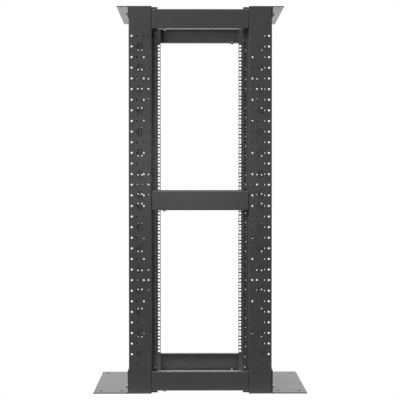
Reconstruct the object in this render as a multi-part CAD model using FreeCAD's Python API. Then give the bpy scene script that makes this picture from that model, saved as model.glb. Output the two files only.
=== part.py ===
"""Four-post open frame rack: bent sheet posts, base and top angles, side bars.

X runs along the depth of the rack with the front at -X, Y runs across its width
with the right side at -Y, Z is up, and the origin is on the floor at the centre.
"""
import FreeCAD, Part
import math
import os

V = FreeCAD.Vector

# Rack unit grid, in millimetres as everything below
UNIT = 44.45
UNIT_COUNT = 32
UNIT_HOLES = (6.35, 22.225, 38.1)
BASE_MARGIN = 99.7
TOP_MARGIN = 102.0

# Posts, each one folded sheet: mounting flange, web, inner flange and side lip
POST_SHEET = 2.66
POST_BEND = 1.5
POST_SPREAD = 600.0
WEB_WIDTH = 96.25
FLANGE_DEPTH = 32.4
LIP_WIDTH = 23.7
RAIL_HOLE_SPACING = 465.1
RAIL_HOLE_EDGE = 7.15
LIP_HOLE_EDGE = 7.4
SQUARE_HOLE = 9.5

# Round holes and tie slots punched in the webs
WEB_HOLE_DIAMETER = 8.2
OUTER_COLUMN_SPACING = 70.0
INNER_COLUMN_SPACING = 29.5
COLUMN_SHIFT = 0.35
SLOT_SPACING = 12.25
SLOT_LENGTH = 35.0
SLOT_WIDTH = 6.5

# Base and top angles, rolled with a square heel
BASE_PLATE = 4.76
TOP_PLATE = 3.18
ANGLE_FILLET = 6.0
ANGLE_TOE = 2.0
BASE_FOOT = 150.0
BASE_LEG = 100.0
TOP_SHELF = 50.8
TOP_LEG = 50.8
ANCHOR_DIAMETER = 16.0
ANCHOR_FROM_POST = 31.5
ANCHOR_SPACING = 89.0
ANCHOR_END = 42.3
SHELF_HOLE_DIAMETER = 11.0
SHELF_HOLE_FROM_POST = 31.0
SHELF_HOLE_END = 28.8
ANGLE_BOLT_DIAMETER = 10.0
BASE_BOLT_HEIGHT = 28.0
TOP_BOLT_DROP = 35.0

# Side bars, shallow pans with their flanges and end tabs turned inwards
BAR_SHEET = 2.0
BAR_BEND = 2.0
BAR_HEIGHT = 81.0
BAR_END_INSET = 12.3
BAR_LIP_GAP = 0.3
BAR_CORNER_RELIEF = 3.0
BAR_BOLT_DIAMETER = 8.0
BAR_BOLT_SPACING = 44.45

# Ground stud through the lower flange of each bar
STUD_FROM_POST = 53.75
STUD_DIAMETER = 8.0
STUD_ACROSS_FLATS = 13.0
STUD_HEAD_HEIGHT = 5.3
STUD_NUT_HEIGHT = 6.5
STUD_END = 4.0

BOLT_CLEARANCE = 1.0

# Sizes worked out from the ones above
GRID_HEIGHT = UNIT_COUNT * UNIT
POST_HEIGHT = BASE_MARGIN + GRID_HEIGHT + TOP_MARGIN
RACK_WIDTH = RAIL_HOLE_SPACING - 2 * RAIL_HOLE_EDGE + 2 * FLANGE_DEPTH
SIDE_FACE = -RACK_WIDTH / 2
RAIL_COLUMN = -RAIL_HOLE_SPACING / 2
POST_FACE = -POST_SPREAD / 2
POST_INNER = POST_FACE + WEB_WIDTH
LIP_END = POST_INNER + LIP_WIDTH
COLUMN_CENTRE = POST_FACE + WEB_WIDTH / 2 - COLUMN_SHIFT
BAR_DEPTH = FLANGE_DEPTH - POST_SHEET - BAR_LIP_GAP
BAR_MIDDLE_Y = SIDE_FACE + BAR_DEPTH / 2
BAR_FLOORS = {
    "top": POST_HEIGHT - BAR_END_INSET - BAR_HEIGHT,
    "middle": BASE_MARGIN + (GRID_HEIGHT - BAR_HEIGHT) / 2,
    "bottom": BAR_END_INSET,
}
STUD_X = POST_INNER + STUD_FROM_POST
UNIT_FLOORS = [BASE_MARGIN + unit * UNIT for unit in range(UNIT_COUNT)]
ANGLE_BOLT_LEVELS = (BASE_BOLT_HEIGHT, POST_HEIGHT - TOP_BOLT_DROP)


def folded_section(corners, sheet, bend):
    """Face across a sheet folded square at the inner corners of its middle line."""
    directions = [(end - start).normalize() for start, end in zip(corners, corners[1:])]
    normals = [V(-direction.y, direction.x, 0) for direction in directions]

    def one_side(side):
        half = side * sheet / 2
        edges = []
        start = corners[0] + normals[0] * half
        for index in range(1, len(directions)):
            before, after = directions[index - 1], directions[index]
            turn = before.x * after.y - before.y * after.x
            radius = bend if turn * side > 0 else bend + sheet
            corner = corners[index] + (normals[index - 1] + normals[index]) * half
            arc_start = corner - before * radius
            arc_end = corner + after * radius
            centre = arc_start + after * radius
            arc_middle = centre + (corner - centre).normalize() * radius
            edges.append(Part.LineSegment(start, arc_start).toShape())
            edges.append(Part.Arc(arc_start, arc_middle, arc_end).toShape())
            start = arc_end
        end = corners[-1] + normals[-1] * half
        edges.append(Part.LineSegment(start, end).toShape())
        return edges, corners[0] + normals[0] * half, end

    left, left_start, left_end = one_side(1)
    right, right_start, right_end = one_side(-1)
    caps = [
        Part.LineSegment(left_end, right_end).toShape(),
        Part.LineSegment(right_start, left_start).toShape(),
    ]
    return Part.Face(Part.Wire(Part.__sortEdges__(left + right + caps)))


def round_punch(centre, axis, diameter, reach):
    """Cylinder that runs reach both ways from centre along axis."""
    return Part.makeCylinder(diameter / 2, 2 * reach, centre - axis * reach, axis)


def box_about(centre, size_x, size_y, size_z):
    """Box with its middle at centre."""
    corner = centre - V(size_x, size_y, size_z) * 0.5
    return Part.makeBox(size_x, size_y, size_z, corner)


def slot_punch(centre, length, width, reach):
    """Upright slot with round ends, punched along Y."""
    half_run = (length - width) / 2
    low = V(centre.x, centre.y - reach, centre.z - half_run)
    high = V(centre.x, centre.y - reach, centre.z + half_run)
    side = V(width / 2, 0, 0)
    rise = V(0, 0, width / 2)
    outline = Part.Wire([
        Part.LineSegment(low + side, high + side).toShape(),
        Part.Arc(high + side, high + rise, high - side).toShape(),
        Part.LineSegment(high - side, low - side).toShape(),
        Part.Arc(low - side, low - rise, low + side).toShape(),
    ])
    return Part.Face(outline).extrude(V(0, 2 * reach, 0))


def web_punches():
    """Four columns of round holes, one a unit, and a pair of tie slots every second unit."""
    y = SIDE_FACE + POST_SHEET / 2
    reach = POST_SHEET
    across = (OUTER_COLUMN_SPACING / 2, INNER_COLUMN_SPACING / 2)
    columns = [COLUMN_CENTRE + side * offset for offset in across for side in (-1, 1)]
    levels = [floor + UNIT / 2 for floor in UNIT_FLOORS]
    punches = [
        round_punch(V(x, y, z), V(0, 1, 0), WEB_HOLE_DIAMETER, reach)
        for x in columns
        for z in levels
    ]
    half_count = UNIT_COUNT // 2
    slotted = list(range(1, half_count, 2)) + list(range(UNIT_COUNT - 2, half_count - 1, -2))
    for unit in slotted:
        for side in (-1, 1):
            centre = V(COLUMN_CENTRE + side * SLOT_SPACING / 2, y, levels[unit])
            punches.append(slot_punch(centre, SLOT_LENGTH, SLOT_WIDTH, reach))
    return punches


def rail_punches():
    """Square holes, three a unit, in the mounting flange and in the side lip."""
    flange_x = POST_FACE + POST_SHEET / 2
    lip_x = LIP_END - LIP_HOLE_EDGE
    lip_y = SIDE_FACE + FLANGE_DEPTH - POST_SHEET / 2
    through = 2 * POST_SHEET
    punches = []
    for floor in UNIT_FLOORS:
        for step in UNIT_HOLES:
            flange_hole = V(flange_x, RAIL_COLUMN, floor + step)
            lip_hole = V(lip_x, lip_y, floor + step)
            punches.append(box_about(flange_hole, through, SQUARE_HOLE, SQUARE_HOLE))
            punches.append(box_about(lip_hole, SQUARE_HOLE, through, SQUARE_HOLE))
    return punches


def bolt_punches():
    """Bolt holes for the angles in the mounting flange and for the bars in the inner flange."""
    flange_x = POST_FACE + POST_SHEET / 2
    inner_x = POST_INNER - POST_SHEET / 2
    reach = POST_SHEET
    punches = [
        round_punch(V(flange_x, RAIL_COLUMN, z), V(1, 0, 0), ANGLE_BOLT_DIAMETER + BOLT_CLEARANCE, reach)
        for z in ANGLE_BOLT_LEVELS
    ]
    for floor in BAR_FLOORS.values():
        for z in bar_bolt_levels(floor):
            centre = V(inner_x, BAR_MIDDLE_Y, z)
            punches.append(round_punch(centre, V(1, 0, 0), BAR_BOLT_DIAMETER + BOLT_CLEARANCE, reach))
    return punches


def bar_bolt_levels(floor):
    """Heights of the two bolts at each end of a bar."""
    middle = floor + BAR_HEIGHT / 2
    return [middle - BAR_BOLT_SPACING / 2, middle + BAR_BOLT_SPACING / 2]


def front_right_post():
    """One folded and punched post, standing on the floor."""
    half = POST_SHEET / 2
    inner_face = SIDE_FACE + FLANGE_DEPTH
    section = folded_section(
        [
            V(POST_FACE + half, inner_face, 0),
            V(POST_FACE + half, SIDE_FACE + half, 0),
            V(POST_INNER - half, SIDE_FACE + half, 0),
            V(POST_INNER - half, inner_face - half, 0),
            V(LIP_END, inner_face - half, 0),
        ],
        POST_SHEET,
        POST_BEND,
    )
    blank = section.extrude(V(0, 0, POST_HEIGHT))
    return blank.cut(web_punches() + rail_punches() + bolt_punches())


def angle_section(foot, leg, plate):
    """Face across a rolled angle: heel at the origin, foot along -X, leg along +Y."""
    fillet, toe = ANGLE_FILLET, ANGLE_TOE
    diagonal = V(-1, 1, 0).normalize()
    foot_toe = V(toe - foot, plate - toe, 0)
    root = V(-plate - fillet, plate + fillet, 0)
    leg_toe = V(toe - plate, leg - toe, 0)
    across = V(1, 0, 0)
    along = V(0, 1, 0)
    arcs = [
        (foot_toe - across * toe, foot_toe + diagonal * toe, foot_toe + along * toe),
        (root - along * fillet, root - diagonal * fillet, root + across * fillet),
        (leg_toe - across * toe, leg_toe + diagonal * toe, leg_toe + along * toe),
    ]
    edges = []
    reached = V(-foot, 0, 0)
    for arc_start, arc_middle, arc_end in arcs:
        edges.append(Part.LineSegment(reached, arc_start).toShape())
        edges.append(Part.Arc(arc_start, arc_middle, arc_end).toShape())
        reached = arc_end
    for point in (V(0, leg, 0), V(0, 0, 0), V(-foot, 0, 0)):
        edges.append(Part.LineSegment(reached, point).toShape())
        reached = point
    return Part.Face(Part.Wire(edges))


def front_angle(foot, leg, plate, bolt_height, foot_holes):
    """Angle along Y on the floor: the leg lies on the mounting flanges, the foot points forwards."""
    section = angle_section(foot, leg, plate)
    # The section is drawn in XY and stood up, so that its Y becomes Z
    section.rotate(V(0, 0, 0), V(1, 0, 0), 90)
    section.translate(V(POST_FACE, -SIDE_FACE, 0))
    blank = section.extrude(V(0, -RACK_WIDTH, 0))
    bolts = [
        round_punch(
            V(POST_FACE - plate / 2, side * RAIL_COLUMN, bolt_height),
            V(1, 0, 0),
            ANGLE_BOLT_DIAMETER + BOLT_CLEARANCE,
            plate,
        )
        for side in (-1, 1)
    ]
    return blank.cut(bolts + foot_holes)


def foot_punches(rows, plate, diameter, end):
    """Holes through a foot, at both ends of each row, given by their distance from the post."""
    return [
        round_punch(
            V(POST_FACE - row, side * (SIDE_FACE + end), plate / 2),
            V(0, 0, 1),
            diameter,
            plate,
        )
        for row in rows
        for side in (-1, 1)
    ]


def base_angle():
    """Wide angle on the floor, with four anchor holes."""
    rows = (ANCHOR_FROM_POST, ANCHOR_FROM_POST + ANCHOR_SPACING)
    holes = foot_punches(rows, BASE_PLATE, ANCHOR_DIAMETER, ANCHOR_END)
    return front_angle(BASE_FOOT, BASE_LEG, BASE_PLATE, BASE_BOLT_HEIGHT, holes)


def top_angle():
    """Narrow angle turned upside down at the top of the posts, with a hole at each end."""
    holes = foot_punches((SHELF_HOLE_FROM_POST,), TOP_PLATE, SHELF_HOLE_DIAMETER, SHELF_HOLE_END)
    upright = front_angle(TOP_SHELF, TOP_LEG, TOP_PLATE, TOP_BOLT_DROP, holes)
    return upright.mirror(V(0, 0, POST_HEIGHT / 2), V(0, 0, 1))


def filleted_block(low, high, radius):
    """Block with the four edges of its -Y face rounded."""
    size = high - low
    block = Part.makeBox(size.x, size.y, size.z, low)
    face_edges = [
        edge for edge in block.Edges
        if all(abs(vertex.Y - low.y) < 1e-6 for vertex in edge.Vertexes)
    ]
    return block.makeFillet(radius, face_edges)


def right_bar(floor):
    """Pan between the posts: web flush with the side face, flanges and bolted end tabs inwards."""
    low = V(POST_INNER, SIDE_FACE, floor)
    high = V(-POST_INNER, SIDE_FACE + BAR_DEPTH, floor + BAR_HEIGHT)
    wall = V(BAR_SHEET, BAR_SHEET, BAR_SHEET)
    past = V(0, 2 * BAR_SHEET, 0)
    pan = filleted_block(low, high, BAR_BEND + BAR_SHEET)
    pan = pan.cut(filleted_block(low + wall, high - wall + past, BAR_BEND))
    corner_y = (SIDE_FACE + BAR_BEND + BAR_SHEET + high.y + BAR_SHEET) / 2
    corner_run = high.y + BAR_SHEET - (SIDE_FACE + BAR_BEND + BAR_SHEET)
    notch = 2 * BAR_CORNER_RELIEF
    punches = [
        box_about(V(x, corner_y, z), notch, corner_run, notch)
        for x in (low.x, high.x)
        for z in (low.z, high.z)
    ]
    for x in (low.x, high.x):
        for z in bar_bolt_levels(floor):
            centre = V(x, BAR_MIDDLE_Y, z)
            punches.append(
                round_punch(centre, V(1, 0, 0), BAR_BOLT_DIAMETER + BOLT_CLEARANCE, 2 * BAR_SHEET)
            )
    stud_centre = V(STUD_X, BAR_MIDDLE_Y, floor)
    punches.append(round_punch(stud_centre, V(0, 0, 1), STUD_DIAMETER, 2 * BAR_SHEET))
    return pan.cut(punches)


def hexagon_prism(centre, across_flats, height):
    """Upright hexagonal block with two flats facing along Y."""
    radius = across_flats / math.sqrt(3)
    turns = [math.radians(60 * corner) for corner in range(7)]
    points = [centre + V(radius * math.cos(turn), radius * math.sin(turn), 0) for turn in turns]
    return Part.Face(Part.makePolygon(points)).extrude(V(0, 0, height))


def right_stud(floor):
    """Hex head under the lower flange, shank through it and nut on top of it."""
    centre = V(STUD_X, BAR_MIDDLE_Y, floor)
    head = hexagon_prism(centre - V(0, 0, STUD_HEAD_HEIGHT), STUD_ACROSS_FLATS, STUD_HEAD_HEIGHT)
    nut = hexagon_prism(centre + V(0, 0, BAR_SHEET), STUD_ACROSS_FLATS, STUD_NUT_HEIGHT)
    shank = Part.makeCylinder(STUD_DIAMETER / 2, BAR_SHEET + STUD_NUT_HEIGHT + STUD_END, centre)
    return head.fuse([shank, nut]).removeSplitter()


def mirrored_in_x(shape):
    """Copy on the other end of the rack's depth."""
    return shape.mirror(V(0, 0, 0), V(1, 0, 0))


def turned_round(shape):
    """Copy turned half a turn about Z, onto the opposite side."""
    copy = shape.copy()
    copy.rotate(V(0, 0, 0), V(0, 0, 1), 180)
    return copy


def rack():
    """All pieces by name, at their places."""
    pieces = {}
    post = front_right_post()
    pieces["front_right_post"] = post
    pieces["rear_right_post"] = mirrored_in_x(post)
    pieces["rear_left_post"] = turned_round(post)
    pieces["front_left_post"] = turned_round(mirrored_in_x(post))
    for name, angle in (("base_angle", base_angle()), ("top_angle", top_angle())):
        pieces[f"front_{name}"] = angle
        pieces[f"rear_{name}"] = turned_round(angle)
    for place, floor in BAR_FLOORS.items():
        bar = right_bar(floor)
        stud = right_stud(floor)
        pieces[f"right_{place}_bar"] = bar
        pieces[f"left_{place}_bar"] = turned_round(bar)
        pieces[f"right_{place}_ground_stud"] = stud
        pieces[f"left_{place}_ground_stud"] = turned_round(stud)
    return pieces


os.makedirs("parts", exist_ok=True)
for node, shape in rack().items():
    solid = shape.Solids[0] if len(shape.Solids) == 1 else shape
    solid.exportStep(f"parts/{node}.step")
    print(f"{node}: {len(shape.Solids)} solid, valid {shape.isValid()}, {shape.Volume / 1000:.1f} cm3")
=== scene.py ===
# %% [markdown]
# # Dressing a four-post open frame rack
# The rack itself was drawn as solids: folded posts, side bars and rolled angles, all at their real
# size. This lesson loads those solids as a fixed frame and gives them what a drawing lacks: a powder
# coat, bright fasteners, soft studio light and a camera where the photographer stood. Every length is
# in metres, and X runs along the depth of the rack, Y across its width and Z up.

# %% Load the rack
import math

import bpy
import numpy as np
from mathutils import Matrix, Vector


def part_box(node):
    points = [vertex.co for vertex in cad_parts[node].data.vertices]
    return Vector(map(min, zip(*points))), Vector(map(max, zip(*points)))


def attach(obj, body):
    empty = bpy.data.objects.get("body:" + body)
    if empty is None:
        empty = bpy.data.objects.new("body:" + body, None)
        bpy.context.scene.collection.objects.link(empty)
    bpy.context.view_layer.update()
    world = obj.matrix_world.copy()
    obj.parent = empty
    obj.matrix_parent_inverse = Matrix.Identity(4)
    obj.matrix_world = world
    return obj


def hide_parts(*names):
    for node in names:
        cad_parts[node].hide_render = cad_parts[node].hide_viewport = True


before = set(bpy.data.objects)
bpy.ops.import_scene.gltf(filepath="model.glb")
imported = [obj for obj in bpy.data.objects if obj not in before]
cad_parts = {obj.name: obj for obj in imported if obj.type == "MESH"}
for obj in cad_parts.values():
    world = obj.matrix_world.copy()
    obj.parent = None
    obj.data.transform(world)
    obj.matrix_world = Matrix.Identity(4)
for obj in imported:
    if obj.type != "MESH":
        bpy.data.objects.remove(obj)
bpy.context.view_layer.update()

# %% [markdown]
# ## The camera
# A product picture of a tall rack is taken with a long lens from several metres away, so that the near
# and far posts look almost the same size. The camera here stands nearly 4.9 m from the middle of the
# rack at the height of its working half, and looks down by about one degree. A real tilt was chosen
# over a lens shift, because a tilted camera makes the top a little wider than the bottom, as the
# picture shows.

# %% Place the camera
CAMERA_PLACE = (-0.0319, -4.8897, 0.8890)
CAMERA_TILT = math.radians(-0.933)
CAMERA_TURN = math.radians(0.378)
CAMERA_LENS_MM = 99.56
SENSOR_MM = 36.0

scene = bpy.context.scene
camera = bpy.data.objects.new("camera", bpy.data.cameras.new("camera"))
camera.data.lens = CAMERA_LENS_MM
camera.data.sensor_width = SENSOR_MM
camera.location = CAMERA_PLACE
camera.rotation_euler = (math.pi / 2 + CAMERA_TILT, 0.0, -CAMERA_TURN)
scene.collection.objects.link(camera)
scene.camera = camera
print("camera at", CAMERA_PLACE, "with a lens of", CAMERA_LENS_MM, "mm")

# %% [markdown]
# ## Shader arithmetic
# A material is a graph of nodes, and a graph written node by node is hard to read. The class below
# wraps one output socket. Adding or multiplying two of them adds the Math node that does it, so that
# a finish can be written as a formula. One method makes every other kind of node: it sets the node's
# own settings first, and then its sockets.


# %% A wire that does arithmetic
class Wire:
    """One output of a shader node, used in formulas as if it were a number."""

    def __init__(self, socket):
        self.socket = socket
        self.tree = socket.id_data

    @classmethod
    def make(cls, tree, kind, settings, sockets, output=0):
        """Add a node of this kind to a tree, and return one of its outputs as a wire."""
        node = tree.nodes.new(kind)
        for name, value in settings.items():
            setattr(node, name, value)
        for name, value in sockets.items():
            if isinstance(value, Wire):
                tree.links.new(value.socket, node.inputs[name])
            else:
                node.inputs[name].default_value = value
        return cls(node.outputs[output])

    def add(self, kind, settings, sockets, output=0):
        """Add a node of this kind to the wire's own tree."""
        return Wire.make(self.tree, kind, settings, sockets, output)

    def calculate(self, operation, first, second=0.0, clamp=False):
        """Add a Math node that works on two wires or numbers."""
        settings = {"operation": operation, "use_clamp": clamp}
        return self.add("ShaderNodeMath", settings, {0: first, 1: second})

    def __add__(self, other):
        return self.calculate("ADD", self, other)

    def __sub__(self, other):
        return self.calculate("SUBTRACT", self, other)

    def __rsub__(self, other):
        return self.calculate("SUBTRACT", other, self)

    def __mul__(self, other):
        return self.calculate("MULTIPLY", self, other)

    def __truediv__(self, other):
        return self.calculate("DIVIDE", self, other)

    def __abs__(self):
        return self.calculate("ABSOLUTE", self)

    __radd__ = __add__
    __rmul__ = __mul__

    def smaller(self, other):
        return self.calculate("MINIMUM", self, other)

    def larger(self, other):
        return self.calculate("MAXIMUM", self, other)

    def held(self):
        """The same value, kept from 0 to 1."""
        return self.calculate("ADD", self, 0.0, clamp=True)

    def noise(self, size, detail=2.0):
        """Soft noise from 0 to 1 whose lumps are about size metres across."""
        sockets = {"Vector": self, "Scale": 1.0 / size, "Detail": detail}
        return self.add("ShaderNodeTexNoise", {}, sockets)

    def between(self, low_colour, high_colour):
        """A colour that goes from one to the other as this value goes from 0 to 1."""
        sockets = {0: self, 6: (*low_colour, 1.0), 7: (*high_colour, 1.0)}
        return self.add("ShaderNodeMix", {"data_type": "RGBA"}, sockets, output=2)

    def feed(self, socket):
        """Join this wire to the input socket of a node that is already there."""
        self.tree.links.new(self.socket, socket)


print("wire ready")

# %% [markdown]
# ## Where the sheet is folded
# Paint is pulled thin round a fold, and the coat is also painted lighter there as a painted highlight,
# so the coat needs to know how near a point is to one. The folds of these pieces lie along the edges of
# their boxes, and a distance to a box is a short formula. It could be painted on by hand, but then it
# would not follow when a size changes.

# %% Find the folds
FOLD_REACH = 0.004


def folded_box(*nodes):
    """The box of these nodes, with x and y taken without their signs."""
    corners = np.array([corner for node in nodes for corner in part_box(node)])
    corners[:, :2] = np.abs(corners[:, :2])
    return corners.min(axis=0).tolist(), corners.max(axis=0).tolist()


def box_edge(place, low, high):
    """How near a point is to an edge of a box: 1 on the edge, 0 further off than FOLD_REACH.

    The point is folded into one quarter of the rack by taking x and y without their signs. Its
    distances to the nearest box face along x, y and z are found, and an edge is where the middle one
    of the three is small, because two faces meet there.
    """
    along = [place.add("ShaderNodeSeparateXYZ", {}, {0: place}, output=axis) for axis in range(3)]
    folded = [abs(along[0]), abs(along[1]), along[2]]
    x, y, z = [abs((part - start).smaller(end - part)) for part, start, end in zip(folded, low, high)]
    middle = x.smaller(y).larger(x.larger(y).smaller(z))
    return (1.0 - middle / FOLD_REACH).held()


print("folds reach", FOLD_REACH, "m")

# %% [markdown]
# ## Black powder coat
# Powder coat is melted plastic dust. It lies over steel as one semi-gloss skin with a fine orange
# peel, a little thicker in some places than in others, and smoother round a fold, where it is pulled
# thin. Round a fold its colour is also lighter, partly from the thinner coat and partly as a painted
# highlight. An image could show that, but a formula holds at any distance. Black paint is nearly all
# reflection: its own colour is only about four hundredths of white, and the rest of its brightness is
# the room.

# %% Mix the powder coat
COAT_DARK = (0.036, 0.036, 0.037)
COAT_LIGHT = (0.052, 0.052, 0.053)
COAT_ROUGHNESS = 0.26
COAT_IOR = 1.5
PEEL_SIZE = 0.0016
PEEL_DEPTH = 0.00006
PEEL_STRENGTH = 0.35
CLOUD_SIZE = 0.11
CLOUD_DETAIL = 3.0
FOLD_WEAR_AND_HIGHLIGHT_SIZE = CLOUD_SIZE / 4
# The fold weight lightens the coat along the folds: partly thin coat, partly a painted highlight.
LIGHTER_BY = {"cloud": 0.55, "peel": 0.35, "fold_wear_and_highlight": 0.9}
ROUGHER_BY = {"cloud": 0.10, "peel": 0.06, "fold_wear_and_highlight": -0.10}


def new_material(name):
    """A material and its main shader."""
    material = bpy.data.materials.new(name)
    material.use_nodes = True
    return material, material.node_tree.nodes["Principled BSDF"]


def place_on(material):
    """A wire that carries the place on the object."""
    return Wire.make(material.node_tree, "ShaderNodeTexCoord", {}, {}, "Object")


def powder_coat(name, low, high):
    """Semi-gloss black coat for pieces that lie in the box from low to high.

    Its shade is a sum of clouds, peel and folds, and the folds are partly coat worn thin and partly a
    painted highlight. Its roughness changes about a mean with the same three. The peel is also its bump.
    """
    material, shader = new_material(name)
    place = place_on(material)
    peel = place.noise(PEEL_SIZE)
    cloud = place.noise(CLOUD_SIZE, CLOUD_DETAIL)
    # The fold mask is partly coat worn thin on the folds and partly a painted highlight along them.
    fold_wear_and_highlight = box_edge(place, low, high) * place.noise(FOLD_WEAR_AND_HIGHLIGHT_SIZE)
    shade = LIGHTER_BY["cloud"] * cloud + LIGHTER_BY["peel"] * peel + LIGHTER_BY["fold_wear_and_highlight"] * fold_wear_and_highlight
    shade.held().between(COAT_DARK, COAT_LIGHT).feed(shader.inputs["Base Color"])
    uneven = ROUGHER_BY["cloud"] * (cloud - 0.5) + ROUGHER_BY["peel"] * (peel - 0.5)
    (COAT_ROUGHNESS + uneven + ROUGHER_BY["fold_wear_and_highlight"] * fold_wear_and_highlight).feed(shader.inputs["Roughness"])
    bump = {"Strength": PEEL_STRENGTH, "Distance": PEEL_DEPTH, "Height": peel}
    place.add("ShaderNodeBump", {}, bump).feed(shader.inputs["Normal"])
    shader.inputs["IOR"].default_value = COAT_IOR
    return material


print("coat of roughness", COAT_ROUGHNESS, "with a peel of", PEEL_SIZE, "m")

# %% [markdown]
# ## Dress the solids
# Like pieces share one coat. The four posts, for one, become a single post once the signs of x and y
# are dropped, so one box finds the folds of all of them.

# %% Coat the posts, angles and bars
SIDES = ("right", "left")
ENDS = ("front", "rear")
LEVELS = ("top", "middle", "bottom")

groups = {
    "post_coat": [f"{end}_{side}_post" for end in ENDS for side in SIDES],
    "base_angle_coat": [f"{end}_base_angle" for end in ENDS],
    "top_angle_coat": [f"{end}_top_angle" for end in ENDS],
}
for level in LEVELS:
    groups[f"{level}_bar_coat"] = [f"{side}_{level}_bar" for side in SIDES]


def dress(node, material):
    """Give a solid one material."""
    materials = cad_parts[node].data.materials
    materials.clear()
    materials.append(material)


for coat_name, nodes in groups.items():
    coat = powder_coat(coat_name, *folded_box(*nodes))
    for node in nodes:
        dress(node, coat)
    print(coat_name, "on", len(nodes), "pieces")

# %% [markdown]
# ## Bright zinc
# The fasteners are steel with a thin bright coat of zinc: a metal, fairly smooth, with faint clouds
# where the plating bath left it duller. Clouds and grain are both noise, of two sizes.

# %% Mix the zinc
ZINC_DULL = (0.50, 0.50, 0.49)
ZINC_BRIGHT = (0.74, 0.74, 0.72)
ZINC_ROUGHNESS = 0.26
ZINC_CLOUD_SIZE = 0.004
ZINC_CLOUD_ROUGHER = 0.12
GRAIN_SIZE = 0.0004
GRAIN_ROUGHER = 0.05
GRAIN_DEPTH = 0.00002
GRAIN_STRENGTH = 0.2


def zinc_plate(name):
    """Bright zinc plating with dull clouds and a fine grain."""
    material, shader = new_material(name)
    place = place_on(material)
    cloud = place.noise(ZINC_CLOUD_SIZE, CLOUD_DETAIL)
    grain = place.noise(GRAIN_SIZE)
    cloud.between(ZINC_DULL, ZINC_BRIGHT).feed(shader.inputs["Base Color"])
    roughness = ZINC_ROUGHNESS + ZINC_CLOUD_ROUGHER * cloud + GRAIN_ROUGHER * grain
    roughness.feed(shader.inputs["Roughness"])
    bump = {"Strength": GRAIN_STRENGTH, "Distance": GRAIN_DEPTH, "Height": grain}
    place.add("ShaderNodeBump", {}, bump).feed(shader.inputs["Normal"])
    shader.inputs["Metallic"].default_value = 1.0
    return material


zinc = zinc_plate("zinc_plate")
print("mixed", zinc.name)

# %% [markdown]
# ## Turned and hexagonal shapes
# A bolt head, a nut, a washer and a thread are all turned shapes: a radius that changes with height
# and goes round an axis. A hexagon is the same with the radius cut short by six flats, and that is
# how a real head is made, turned first and then pressed. So one function of two parameters, the
# height and the angle, makes them all.

# %% One function for turned shapes
AROUND = 48


def angles_around():
    """Angles of the points on one ring, as a row."""
    return np.linspace(0.0, 2.0 * math.pi, AROUND, endpoint=False)[None, :]


def hexagon_limit(flats):
    """Distance to a hexagon's side: half of flats over the cosine of the angle to the nearest flat."""
    sixth = math.pi / 3
    return flats / 2 / np.cos((angles_around() + sixth / 2) % sixth - sixth / 2)


def turned(heights, radii):
    """Closed solid of rings: a point at angle a is (r cos a, r sin a, h), capped at both ends."""
    heights = np.asarray(heights, float)[:, None]
    radii = np.broadcast_to(radii, (len(heights), AROUND))
    angles = angles_around()
    rings = np.stack([radii * np.cos(angles), radii * np.sin(angles), heights + 0 * radii], axis=-1)
    caps = np.array([[0.0, 0.0, heights[0, 0]], [0.0, 0.0, heights[-1, 0]]])
    ring, step = np.meshgrid(np.arange(len(heights) - 1), np.arange(AROUND), indexing="ij")
    here = ring * AROUND + step
    beside = ring * AROUND + (step + 1) % AROUND
    quads = np.stack([here, beside, beside + AROUND, here + AROUND], axis=-1).reshape(-1, 4)
    around = np.arange(AROUND)
    after = (around + 1) % AROUND
    last = (len(heights) - 1) * AROUND
    pole = np.full(AROUND, len(heights) * AROUND)
    low_fan = np.stack([after, around, pole], axis=-1)
    high_fan = np.stack([last + around, last + after, pole + 1], axis=-1)
    return np.concatenate([rings.reshape(-1, 3), caps]), quads, np.concatenate([low_fan, high_fan])


print("ring of", AROUND, "points")

# %% [markdown]
# ## Put shapes together
# A shape here is three arrays: its points, its faces of four corners and its faces of three. Shapes
# are moved and turned as whole arrays and then joined into one mesh, so that a row of bolts is one
# object at the origin.


# %% Move, turn and join shapes
def raised(shape, height):
    """The shape moved up along its axis."""
    points, quads, fans = shape
    return points + np.array([0.0, 0.0, height]), quads, fans


def placed(shape, centre, axis):
    """The shape with its origin at centre and its axis turned: a point is x across + y third + z axis.

    Across is level and square to the axis, which lies along X or Z, and third is square to both.
    """
    points, quads, fans = shape
    across = np.array([0.0, 1.0, 0.0])
    axis = np.asarray(axis, float)
    third = np.cross(axis, across)
    return points @ np.stack([across, third, axis]) + np.asarray(centre, float), quads, fans


def joined(shapes):
    """One shape from several: the corner numbers of each go up by the points of those before it."""
    starts = np.cumsum([0] + [len(shape[0]) for shape in shapes])
    points = np.concatenate([shape[0] for shape in shapes])
    quads = np.concatenate([shape[1] + start for shape, start in zip(shapes, starts)])
    fans = np.concatenate([shape[2] + start for shape, start in zip(shapes, starts)])
    return points, quads, fans


def make_piece(name, shape, material):
    """A mesh object from a shape, riding on the rack."""
    points, quads, fans = shape
    mesh = bpy.data.meshes.new(name)
    mesh.from_pydata(points.tolist(), [], quads.tolist() + fans.tolist())
    mesh.materials.append(material)
    mesh.update()
    piece = bpy.data.objects.new(name, mesh)
    scene.collection.objects.link(piece)
    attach(piece, "root")
    print(name, len(quads) + len(fans), "faces")
    return piece


print("shapes can be moved, turned and joined")

# %% [markdown]
# ## Heads, nuts and washers
# A head has a thin round bearing face, six flats, and a chamfer that turns the top corners into
# shallow arcs. A nut is a head with a chamfer at both ends. A hexagon with sharp corners would be
# simpler, but the arcs are what makes a head look turned.

# %% Hexagons and washers
CHAMFER_STEPS = 6
CHAMFER_SLOPE = math.tan(math.radians(30))
CROWN_SHARE = 0.94
BEARING_SHARE = 0.06
RIM_STEPS = 7


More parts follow.
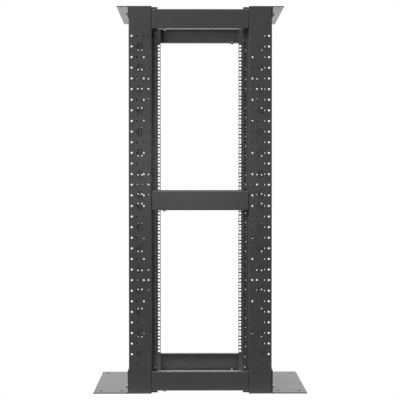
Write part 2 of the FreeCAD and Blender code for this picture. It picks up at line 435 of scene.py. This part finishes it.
def chamfered_hexagon(flats, height, both_ends):
    """Hexagon turned to a cone at its ends: the radius is the smaller of the flats' and the cone's."""
    corner = flats / math.sqrt(3)
    crown = flats / 2 * CROWN_SHARE
    run = (corner - crown) * CHAMFER_SLOPE
    slope = np.linspace(0.0, 1.0, CHAMFER_STEPS)
    rise = height - run + run * slope
    cone = corner + (crown - corner) * slope
    if both_ends:
        low_rise, low_cone = run - run * slope[::-1], cone[::-1]
    else:
        low_rise = np.array([0.0, BEARING_SHARE, BEARING_SHARE]) * height
        low_cone = np.array([crown, crown, corner])
    heights = np.concatenate([low_rise, rise])
    radii = np.minimum(np.concatenate([low_cone, cone])[:, None], hexagon_limit(flats))
    return turned(heights, radii)


def washer(outer, thickness):
    """Flat disc with its rim rounded by a half circle."""
    turn = np.linspace(-math.pi / 2, math.pi / 2, RIM_STEPS)
    heights = thickness / 2 + thickness / 2 * np.sin(turn)
    return turned(heights, (outer / 2 - thickness / 2 + thickness / 2 * np.cos(turn))[:, None])


print("a chamfer has", CHAMFER_STEPS, "rings and a rim", RIM_STEPS)

# %% [markdown]
# ## Threads
# The thread that stands past a nut is a radius that rises and falls once each pitch while it goes
# round once. A bump could draw it, but only real flanks catch the light and show in the outline.

# %% Threads, and bolts put together
THREAD_STEPS = 6
THREAD_DEPTH = 0.6


def thread_end(diameter, pitch, length):
    """Screw thread: the radius falls and rises once a pitch, and the phase turns once round the axis."""
    rows = int(length / pitch * THREAD_STEPS) + 2
    heights = np.linspace(0.0, length, rows)
    phase = (heights[:, None] / pitch - angles_around() / (2 * math.pi)) % 1.0
    depth = THREAD_DEPTH * pitch
    point = np.minimum(1.0, (length - heights) / depth)[:, None]
    radii = diameter / 2 - depth * np.abs(2 * phase - 1) - depth * (1 - point)
    return turned(heights, radii)


def bolt_head(size):
    """Washer and head as they sit on a face, with the face at height 0."""
    parts = [washer(size["washer"], size["washer_thick"])]
    parts.append(raised(chamfered_hexagon(size["flats"], size["head"], False), size["washer_thick"]))
    return joined(parts)


def bolt_nut(size):
    """Washer, nut and the end of the thread as they sit on a face."""
    top = size["washer_thick"] + size["nut"]
    parts = [washer(size["washer"], size["washer_thick"])]
    parts.append(raised(chamfered_hexagon(size["flats"], size["nut"], True), size["washer_thick"]))
    parts.append(raised(thread_end(size["diameter"], size["pitch"], size["end"]), top))
    return joined(parts)


print("a thread has", THREAD_STEPS, "rings a pitch")

# %% [markdown]
# ## Bolts that hold the angles
# Each base and top angle is bolted through its upright leg to the mounting flanges of two posts. The
# head shows outside and the nut sits in the hollow of the post.

# %% Bolt the angles to the posts
ANGLE_BOLT = {
    "diameter": 0.010, "pitch": 0.0015, "flats": 0.016, "head": 0.0064, "nut": 0.008,
    "washer": 0.020, "washer_thick": 0.002, "end": 0.006,
}
BASE_PLATE = 0.00476
TOP_PLATE = 0.00318
POST_SHEET = 0.00266
BASE_BOLT_HEIGHT = 0.028
TOP_BOLT_DROP = 0.035
RAIL_COLUMN = 0.23255

post_high = folded_box(*groups["post_coat"])[1]
post_face = post_high[0]
angles = {
    "base": (BASE_BOLT_HEIGHT, BASE_PLATE),
    "top": (post_high[2] - TOP_BOLT_DROP, TOP_PLATE),
}
for end, outwards in zip(ENDS, (-1.0, 1.0)):
    for place_name, (level, plate) in angles.items():
        bolts = []
        for across in (-RAIL_COLUMN, RAIL_COLUMN):
            outside = (outwards * (post_face + plate), across, level)
            inside = (outwards * (post_face - POST_SHEET), across, level)
            bolts.append(placed(bolt_head(ANGLE_BOLT), outside, (outwards, 0, 0)))
            bolts.append(placed(bolt_nut(ANGLE_BOLT), inside, (-outwards, 0, 0)))
        make_piece(f"{end}_{place_name}_angle_bolts", joined(bolts), zinc)

# %% [markdown]
# ## Bolts that hold the bars
# A bar has a tab at each end, which two bolts clamp to the inner flange of the post. The heads are
# in the hollow of the post and the nuts in the hollow of the bar, so they show only from inside.

# %% Bolt the bars to the posts
BAR_BOLT = {
    "diameter": 0.008, "pitch": 0.00125, "flats": 0.013, "head": 0.0053, "nut": 0.0065,
    "washer": 0.016, "washer_thick": 0.0016, "end": 0.005,
}
BAR_SHEET = 0.002
BAR_BOLT_SPACING = 0.04445

for side in SIDES:
    for level in LEVELS:
        low, high = (np.array(corner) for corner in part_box(f"{side}_{level}_bar"))
        middle = (low + high) / 2
        bolts = []
        for tab, outwards in ((low[0], -1.0), (high[0], 1.0)):
            for step in (-BAR_BOLT_SPACING / 2, BAR_BOLT_SPACING / 2):
                in_post = (tab + outwards * POST_SHEET, middle[1], middle[2] + step)
                in_bar = (tab - outwards * BAR_SHEET, middle[1], middle[2] + step)
                bolts.append(placed(bolt_head(BAR_BOLT), in_post, (outwards, 0, 0)))
                bolts.append(placed(bolt_nut(BAR_BOLT), in_bar, (-outwards, 0, 0)))
        make_piece(f"{side}_{level}_bar_bolts", joined(bolts), zinc)

# %% [markdown]
# ## Ground studs
# Under each bar hangs one bright bolt for an earth wire, held by a nut on top of the bar's lower
# flange. The solid has it as plain hexagons, so a piece with chamfers and a thread takes its place.

# %% Make the ground studs
STUD = {"diameter": 0.008, "pitch": 0.00125, "flats": 0.013, "head": 0.0053, "nut": 0.0065, "end": 0.004}

for side in SIDES:
    for level in LEVELS:
        node = f"{side}_{level}_ground_stud"
        low, high = (np.array(corner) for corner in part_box(node))
        x, y = ((low + high) / 2)[:2]
        nut_top = high[2] - STUD["end"]
        flange_under = low[2] + STUD["head"]
        head = chamfered_hexagon(STUD["flats"], STUD["head"], False)
        nut = chamfered_hexagon(STUD["flats"], STUD["nut"], True)
        thread = thread_end(STUD["diameter"], STUD["pitch"], STUD["end"])
        shape = joined([
            placed(head, (x, y, flange_under), (0, 0, -1)),
            placed(nut, (x, y, nut_top - STUD["nut"]), (0, 0, 1)),
            placed(thread, (x, y, nut_top), (0, 0, 1)),
        ])
        stud = make_piece(f"{node}_bolt", shape, zinc)
        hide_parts(node)
        dress(node, zinc)

# %% [markdown]
# ## A white studio
# The rack stands before a white backdrop, on a floor of the same white. The room on the side of the
# camera is dark at eye level, pale towards the ground and bright at the ceiling. Black paint shows that
# room: its level faces turn pale where they mirror the backdrop at a low angle, its upright faces stay
# dark because they mirror the wall, and the folds along the top of the bars catch the ceiling. So the
# world is a level that depends on the direction: white behind the rack, and in front a formula in the
# height. Rays from the camera see it white all round, so that every side is shown on the same ground.

# %% World
CEILING_LEVEL = 2.0
CEILING_START = 0.35
CEILING_FULL = 0.80
GROUND_LEVEL = 0.60
GROUND_START = 0.0
GROUND_FULL = -0.35
GROUND_END = -0.80
BACKDROP_START = -0.30
BACKDROP_FULL = 0.25

world = bpy.data.worlds.new("studio")
world.use_nodes = True
scene.world = world
world_tree = world.node_tree


def ray_is(tree, kind):
    """1 for a ray of this kind, and 0 for the rest."""
    return Wire.make(tree, "ShaderNodeLightPath", {}, {}, f"Is {kind} Ray")


def seen_directly(tree):
    """1 for a ray from the camera or through glass, and 0 for the rest."""
    return ray_is(tree, "Camera").larger(ray_is(tree, "Transmission"))


direction = Wire.make(world_tree, "ShaderNodeTexCoord", {}, {}, "Generated")
depth = direction.add("ShaderNodeSeparateXYZ", {}, {0: direction}, output=1)
height = direction.add("ShaderNodeSeparateXYZ", {}, {0: direction}, output=2)
backdrop = ((depth - BACKDROP_START) / (BACKDROP_FULL - BACKDROP_START)).held()
ceiling = ((height - CEILING_START) / (CEILING_FULL - CEILING_START)).held()
below_eye = ((GROUND_START - height) / (GROUND_START - GROUND_FULL)).held()
before_feet = ((height - GROUND_END) / (GROUND_FULL - GROUND_END)).held()
front = CEILING_LEVEL * ceiling + GROUND_LEVEL * below_eye.smaller(before_feet)
room = front + (1.0 - front) * backdrop
background = world_tree.nodes["Background"]
background.inputs["Color"].default_value = (1.0, 1.0, 1.0, 1.0)
room.larger(seen_directly(world_tree)).feed(background.inputs["Strength"])
print("ceiling", CEILING_LEVEL, "and ground", GROUND_LEVEL, "of the backdrop")

# %% [markdown]
# ## The floor
# The floor is white paper. Seen by the camera or in a reflection it mostly glows by itself, so that it
# is as white as the backdrop and no horizon shows, and the rest is lit paper, which keeps a trace of
# the rack's shadow. The paper starts a little before the rack and runs far back under the backdrop, so
# that it throws light on the foot of the rack only.

# %% Floor
FLOOR_FRONT = -0.30
FLOOR_BACK = 30.0
FLOOR_SIDE = 15.0
FLOOR_DROP = 0.0008
FLOOR_COLOUR = (0.75, 0.75, 0.75, 1.0)
FLOOR_GLOW = 0.9
GLOW_STRENGTH = 1.05
PAPER_ROUGHNESS = 0.9

floor_mesh = bpy.data.meshes.new("floor")
corners = [
    (-FLOOR_SIDE, FLOOR_FRONT, -FLOOR_DROP),
    (FLOOR_SIDE, FLOOR_FRONT, -FLOOR_DROP),
    (FLOOR_SIDE, FLOOR_BACK, -FLOOR_DROP),
    (-FLOOR_SIDE, FLOOR_BACK, -FLOOR_DROP),
]
floor_mesh.from_pydata(corners, [], [(0, 1, 2, 3)])
floor = bpy.data.objects.new("floor", floor_mesh)
scene.collection.objects.link(floor)

paper, paper_shader = new_material("white_paper")
paper_shader.inputs["Base Color"].default_value = FLOOR_COLOUR
paper_shader.inputs["Roughness"].default_value = PAPER_ROUGHNESS
paper_tree = paper.node_tree
shown = seen_directly(paper_tree).larger(ray_is(paper_tree, "Glossy")) * FLOOR_GLOW
white = shown.add("ShaderNodeEmission", {}, {"Strength": GLOW_STRENGTH})
lit = Wire(paper_shader.outputs["BSDF"])
mixed = shown.add("ShaderNodeMixShader", {}, {0: shown, 1: lit, 2: white})
mixed.feed(paper_tree.nodes["Material Output"].inputs["Surface"])
floor_mesh.materials.append(paper)
print("floor from", FLOOR_FRONT, "to", FLOOR_BACK, "m")

# %% [markdown]
# ## Soft lamps
# One large soft box hangs high on the left, near the rack, so that the light falls off quickly: the
# left post is lighter than the right one and the top lighter than the foot. Gloss does not show it,
# because from some sides its image would turn a whole black shelf white. A weak lamp beside the camera
# adds hardly any light, but the upright faces mirror it: it gives the soft sheen at half height.

# %% Hang the lamps
RACK_MIDDLE = (0.0, 0.0, 0.8)
KEY_PLACE = (-2.0, -2.0, 3.0)
KEY_SIZE = 2.4
KEY_POWER = 165.0
SHEEN_PLACE = (-0.08, -4.95, 1.05)
SHEEN_SIZE = 0.6
SHEEN_POWER = 4.8


def soft_box(name, place, size, power, mirrored):
    """Square area lamp that faces the rack, and that gloss shows or does not show."""
    lamp = bpy.data.lights.new(name, "AREA")
    lamp.size = size
    lamp.energy = power
    holder = bpy.data.objects.new(name, lamp)
    toward = np.array(RACK_MIDDLE) - np.array(place)
    holder.location = place
    holder.visible_glossy = mirrored
    tilt = math.atan2(math.hypot(toward[0], toward[1]), -toward[2])
    turn = math.atan2(toward[1], toward[0]) - math.pi / 2
    holder.rotation_euler = (tilt, 0.0, turn)
    scene.collection.objects.link(holder)
    print(name, power, "W")


soft_box("key_lamp", KEY_PLACE, KEY_SIZE, KEY_POWER, mirrored=False)
soft_box("sheen_lamp", SHEEN_PLACE, SHEEN_SIZE, SHEEN_POWER, mirrored=True)

# %% [markdown]
# ## Finish
# The view transform is left plain, so that a colour renders as it is written.

# %% Set the view transform
scene.view_settings.view_transform = "Standard"
